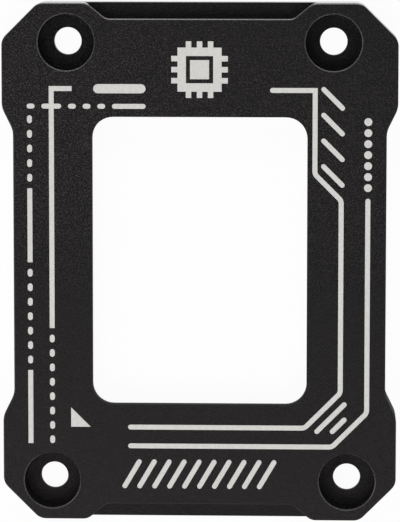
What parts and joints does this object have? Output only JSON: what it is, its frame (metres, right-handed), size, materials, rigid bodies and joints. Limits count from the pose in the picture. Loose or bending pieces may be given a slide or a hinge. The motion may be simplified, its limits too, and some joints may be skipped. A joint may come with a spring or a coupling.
{
  "type": "cpu socket retention frame",
  "caption": "Flat milled aluminium frame that is screwed over a processor socket and presses on the lid's rim through a rounded window; black, with light line marks.",
  "frame": {"origin": "middle of the board face, on the surface that the frame lies on", "axes": "+Z out of the board towards the cooler, +Y along the long side towards the closer screw pair, +X along the short side"},
  "size_m": [0.054, 0.071, 0.006],
  "materials": {
    "black_aluminium": "fine-blasted, black anodised, matt",
    "light_paint": "light grey filled engraving, matt"
  },
  "bodies": {
    "root": {"chip_sign_core": "light_paint", "chip_sign_ring": "light_paint", "corner_slash_1": "light_paint", "corner_slash_2": "light_paint", "dot_1": "light_paint", "dot_2": "light_paint", "dot_3": "light_paint", "dot_4": "light_paint", "dot_5": "light_paint", "dot_6": "light_paint", "dot_7": "light_paint", "first_pin_triangle": "light_paint", "frame_plate": "black_aluminium", "hatch_1": "light_paint", "hatch_10": "light_paint", "hatch_2": "light_paint", "hatch_3": "light_paint", "hatch_4": "light_paint", "hatch_5": "light_paint", "hatch_6": "light_paint", "hatch_7": "light_paint", "hatch_8": "light_paint", "hatch_9": "light_paint", "inner_column_dash_1": "light_paint", "inner_column_dash_2": "light_paint", "inner_column_dash_3": "light_paint", "inner_column_dash_4": "light_paint", "inner_column_dash_5": "light_paint", "inner_column_dash_6": "light_paint", "inner_column_dash_7": "light_paint", "inner_column_dash_8": "light_paint", "left_trace": "light_paint", "outer_column_lower_bar": "light_paint", "outer_column_lower_dash_1": "light_paint", "outer_column_lower_dash_2": "light_paint", "outer_column_lower_dash_3": "light_paint", "outer_column_lower_dash_4": "light_paint", "outer_column_lower_dash_5": "light_paint", "outer_column_lower_dash_6": "light_paint", "outer_column_lower_dash_7": "light_paint", "outer_column_upper_bar": "light_paint", "outer_column_upper_dash_1": "light_paint", "outer_column_upper_dash_2": "light_paint", "outer_column_upper_dash_3": "light_paint", "outer_column_upper_dash_4": "light_paint", "outer_column_upper_dash_5": "light_paint", "right_inner_trace": "light_paint", "right_outer_trace": "light_paint", "row_bar": "light_paint", "row_dash_1": "light_paint", "row_dash_2": "light_paint", "row_dash_3": "light_paint", "row_dash_4": "light_paint", "slash_1": "light_paint", "slash_2": "light_paint", "slash_3": "light_paint", "slash_4": "light_paint", "thick_bar": "light_paint"}
  },
  "joints": []
}
